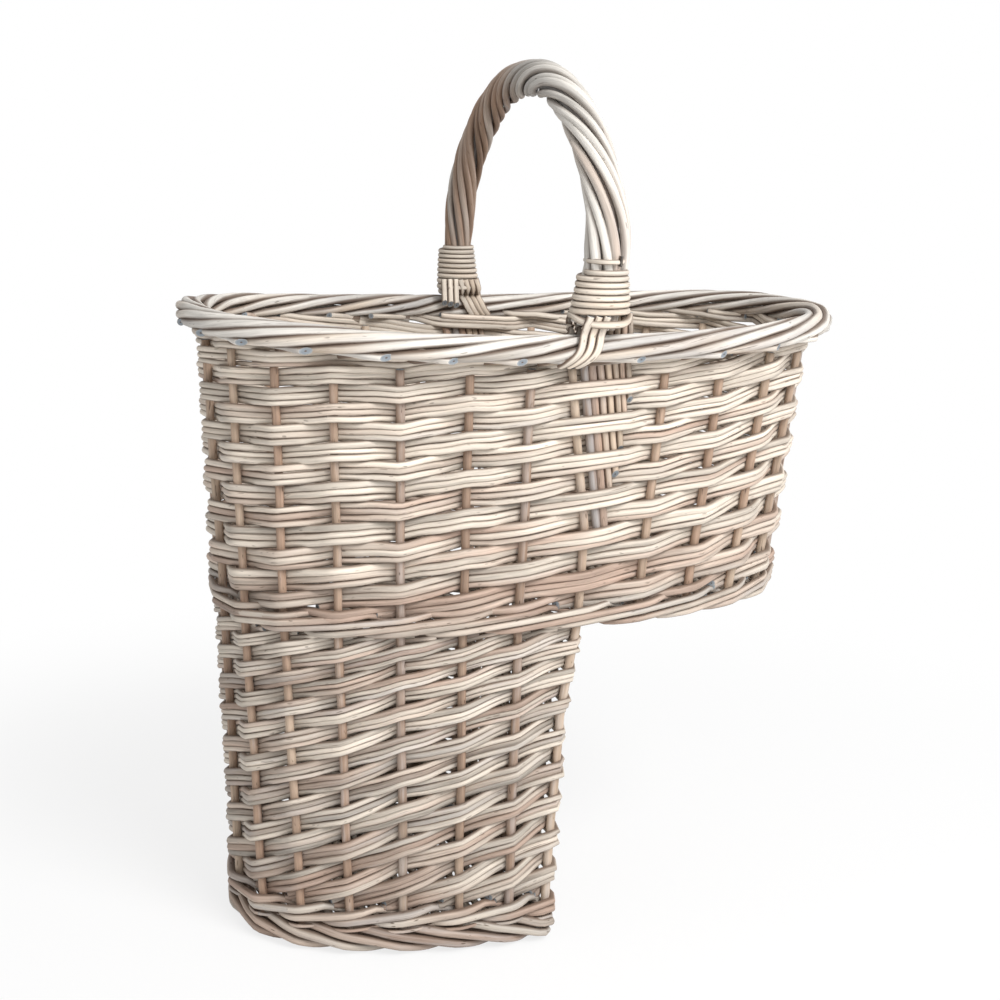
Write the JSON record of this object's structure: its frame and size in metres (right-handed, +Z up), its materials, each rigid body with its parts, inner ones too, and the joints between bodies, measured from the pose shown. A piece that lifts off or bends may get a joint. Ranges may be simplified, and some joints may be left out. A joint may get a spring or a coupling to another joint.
{
  "type": "stair basket",
  "caption": "Willow stair basket: a long oval compartment overhangs the upper step, a D-shaped one stands on the step below, with a roped hoop handle.",
  "frame": {"origin": "on the lower step, under the middle of the overall box", "axes": "+Z up; +X along the basket's length, up the stairs, towards the overhang; -Y is the front"},
  "size_m": [0.4196, 0.2734, 0.5402],
  "materials": {
    "willow_weavers": "weathered peeled willow, matt with a slight sheen",
    "willow_stakes": "buff willow stakes, matt",
    "willow_grey": "greyed willow, matt",
    "willow_thick_rods": "thick pinkish willow rods, matt"
  },
  "bodies": {
    "root": {"foot_border": "willow_thick_rods", "base_wale": "willow_thick_rods", "ledge_wale": "willow_thick_rods", "base_panel": "willow_grey", "ledge_floor": "willow_grey", "base_stick_1": "willow_stakes", "base_stick_2": "willow_stakes", "base_stick_3": "willow_stakes", "lower_siding": "willow_grey", "upper_siding": "willow_weavers", "top_border": "willow_weavers", "handle_bow": "willow_stakes", "stake_left_end": "willow_stakes", "stake_right_end": "willow_stakes", "stake_corner_front": "willow_stakes", "stake_corner_back": "willow_stakes", "stake_left_front_1": "willow_stakes", "stake_left_front_2": "willow_stakes", "stake_left_front_3": "willow_stakes", "stake_left_front_4": "willow_stakes", "stake_left_front_5": "willow_stakes", "stake_left_front_6": "willow_stakes", "stake_left_back_1": "willow_stakes", "stake_left_back_2": "willow_stakes", "stake_left_back_3": "willow_stakes", "stake_left_back_4": "willow_stakes", "stake_left_back_5": "willow_stakes", "stake_left_back_6": "willow_stakes", "stake_right_front_1": "willow_stakes", "stake_right_front_2": "willow_stakes", "stake_right_front_3": "willow_stakes", "stake_right_front_4": "willow_stakes", "stake_right_front_5": "willow_stakes", "stake_right_back_1": "willow_stakes", "stake_right_back_2": "willow_stakes", "stake_right_back_3": "willow_stakes", "stake_right_back_4": "willow_stakes", "stake_right_back_5": "willow_stakes", "stake_riser_1": "willow_stakes", "stake_riser_2": "willow_stakes", "stake_riser_3": "willow_stakes", "stake_riser_4": "willow_stakes", "handle_rod_1": "willow_weavers", "handle_rod_2": "willow_weavers", "handle_rod_3": "willow_weavers", "handle_rod_4": "willow_weavers", "handle_rod_5": "willow_weavers", "handle_rod_6": "willow_weavers", "handle_rod_7": "willow_weavers", "handle_rod_8": "willow_weavers", "handle_rod_9": "willow_weavers", "handle_rod_10": "willow_weavers", "binding_front": "willow_weavers", "liner_front": "willow_stakes", "lashing_front_outer": "willow_weavers", "lashing_front_inner": "willow_weavers", "binding_back": "willow_weavers", "liner_back": "willow_stakes", "lashing_back_outer": "willow_weavers", "lashing_back_inner": "willow_weavers"}
  },
  "joints": []
}
